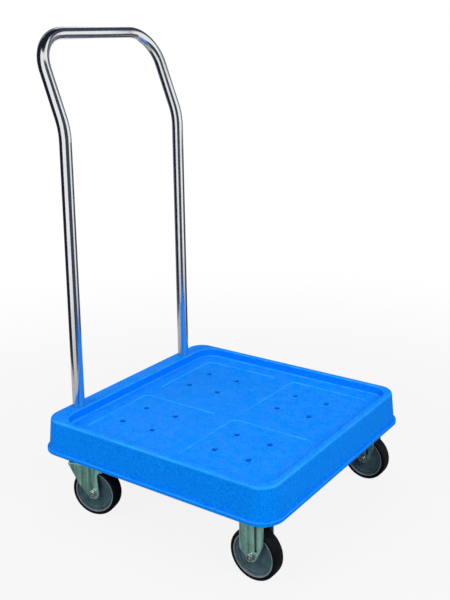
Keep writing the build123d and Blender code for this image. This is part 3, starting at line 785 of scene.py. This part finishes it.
def floor_white():
    """Pale matt floor, mostly white to the camera and all white further out. From below it is clear."""
    finish, tree, shader = finish_of("floor_white")
    shader.inputs["Base Color"].default_value = (0.42, 0.42, 0.42, 1)
    shader.inputs["Roughness"].default_value = 0.95
    shader.inputs["Specular IOR Level"].default_value = 0
    place = add(tree, "ShaderNodeTexCoord").outputs["Object"]
    away = add(tree, "ShaderNodeVectorMath", {0: place}, operation="LENGTH").outputs["Value"]
    near, far = 0.55, 1.9
    feeds = {"Value": away, "From Min": near, "From Max": far}
    fade = add(tree, "ShaderNodeMapRange", feeds, interpolation_type="SMOOTHSTEP").outputs["Result"]
    by_camera, mirrored = seen_shares(tree)
    shown = maths(tree, "MULTIPLY", by_camera, spread(tree, fade, 0, 1, 0.88, 1))
    share = maths(tree, "MAXIMUM", shown, maths(tree, "MULTIPLY", mirrored, fade))
    white = add(tree, "ShaderNodeEmission", {"Color": (1, 1, 1, 1), "Strength": 1.0}).outputs[0]
    both = add(tree, "ShaderNodeMixShader", {0: share, 1: shader.outputs[0], 2: white}).outputs[0]
    below = add(tree, "ShaderNodeNewGeometry").outputs["Backfacing"]
    clear = add(tree, "ShaderNodeBsdfTransparent").outputs[0]
    one_way = add(tree, "ShaderNodeMixShader", {0: below, 1: both, 2: clear}).outputs[0]
    tree.links.new(one_way, tree.nodes["Material Output"].inputs["Surface"])
    return finish


def card_grey(name, shade):
    """A card of one even shade, as the polish mirrors it."""
    finish, tree, _ = finish_of(name)
    even = add(tree, "ShaderNodeEmission", {"Color": shade, "Strength": 1.0}).outputs[0]
    tree.links.new(even, tree.nodes["Material Output"].inputs["Surface"])
    return finish


floor_shape = bmesh.new()
bmesh.ops.create_circle(floor_shape, cap_ends=True, segments=96, radius=9.0)
staged("studio_floor", floor_shape, floor_white())

card_middle = (-0.226, 0, 0)
card_distance = 0.85
card_top = 2.2
deep_shade = on_screen(30, 33, 44)
mid_shade = on_screen(62, 70, 84)
pale_shade = on_screen(116, 123, 134)


def only_mirrored(card):
    """Hides a card from the camera and from the light, so that it shows in polished surfaces alone."""
    card.visible_camera = False
    card.visible_diffuse = False
    card.visible_shadow = False


def dark_card(name, first, last, low, high, shade):
    """A dark card bent round the handle, from one bearing to another."""
    shape = bmesh.new()
    foot = shape.verts.new((card_distance, 0, low))
    top = shape.verts.new((card_distance, 0, high))
    shape.edges.new((foot, top))
    shape.transform(Matrix.Translation(card_middle) @ Matrix.Rotation(radians(first), 4, "Z"))
    bmesh.ops.spin(
        shape, geom=shape.verts[:] + shape.edges[:], cent=card_middle, axis=(0, 0, 1), dvec=(0, 0, 0),
        angle=radians(last - first), steps=24,
    )
    only_mirrored(staged(name, shape, card_grey(name, shade)))


dark_card("back_right_card", 188, 256, 0, card_top, deep_shade)
dark_card("back_card", 138, 188, 0, card_top, pale_shade)
dark_card("left_high_card", 42, 118, 1.28, card_top, mid_shade)
dark_card("left_card", 57, 118, 0.62, 1.28, pale_shade)
dark_card("left_low_card", 57, 118, 0, 0.62, mid_shade)
dark_card("edge_card", 42, 57, 0.43, 0.66, pale_shade)
dark_card("edge_low_card", 42, 57, 0, 0.43, mid_shade)
dark_card("front_card", 305, 364, 0, 1.7, mid_shade)
overhead = bmesh.new()
bmesh.ops.create_circle(overhead, cap_ends=True, segments=48, radius=card_distance)
overhead.transform(Matrix.Translation(card_middle) @ Matrix.Translation((0, 0, card_top)))
only_mirrored(staged("overhead_card", overhead, card_grey("overhead_card", deep_shade)))

# World: white where it is seen or mirrored, softer where it lights
world = bpy.data.worlds.new("studio")
scene.world = world
world.use_nodes = True
tree = world.node_tree
tree.nodes.clear()
seen = add(tree, "ShaderNodeBackground", {"Color": (1, 1, 1, 1), "Strength": 1.0}).outputs[0]
lit = add(tree, "ShaderNodeBackground", {"Color": (1, 1, 1, 1), "Strength": 0.32}).outputs[0]
shown = maths(tree, "MAXIMUM", *seen_shares(tree))
both = add(tree, "ShaderNodeMixShader", {0: shown, 1: lit, 2: seen}).outputs[0]
tree.links.new(both, add(tree, "ShaderNodeOutputWorld").inputs["Surface"])

# Lamps
lamp_target = (0, 0, 0.25)

# A lamp's glint in the bright tube would be a hard jagged line, so the tube only mirrors the stage
spared = bpy.data.collections.new("spared_by_lamps")
spared.objects.link(frame["nodes"]["handle_tube"])
spared.collection_objects[0].light_linking.link_state = "EXCLUDE"


def softbox(name, place, power, size):
    """A soft square lamp that looks at the deck."""
    lamp = bpy.data.lights.new(name, "AREA")
    lamp.size, lamp.energy = size, power
    holder = bpy.data.objects.new(name, lamp)
    scene.collection.objects.link(holder)
    holder.light_linking.receiver_collection = spared
    look = Vector(lamp_target) - Vector(place)
    holder.matrix_world = Matrix.Translation(place) @ look.to_track_quat("-Z", "Y").to_matrix().to_4x4()


softbox("front_lamp", (2.3, -0.7, 1.9), 49, 1.5)
softbox("side_lamp", (-0.9, -2.4, 1.7), 36, 1.5)
softbox("top_lamp", (-0.3, 0.5, 2.8), 20, 1.6)

# Camera
lens = bpy.data.cameras.new("photo_view")
lens.sensor_width = sensor
lens.lens = focal_pixels / max(image_width, image_height) * sensor
lens.shift_x, lens.shift_y = camera_shift
camera = bpy.data.objects.new("photo_view", lens)
camera.matrix_world = (
    Matrix.Translation(camera_place)
    @ Matrix.Rotation(radians(camera_azimuth), 4, "Z")
    @ Matrix.Rotation(radians(90 - camera_elevation), 4, "X")
    @ Matrix.Rotation(radians(camera_roll), 4, "Z")
)
scene.collection.objects.link(camera)
scene.camera = camera
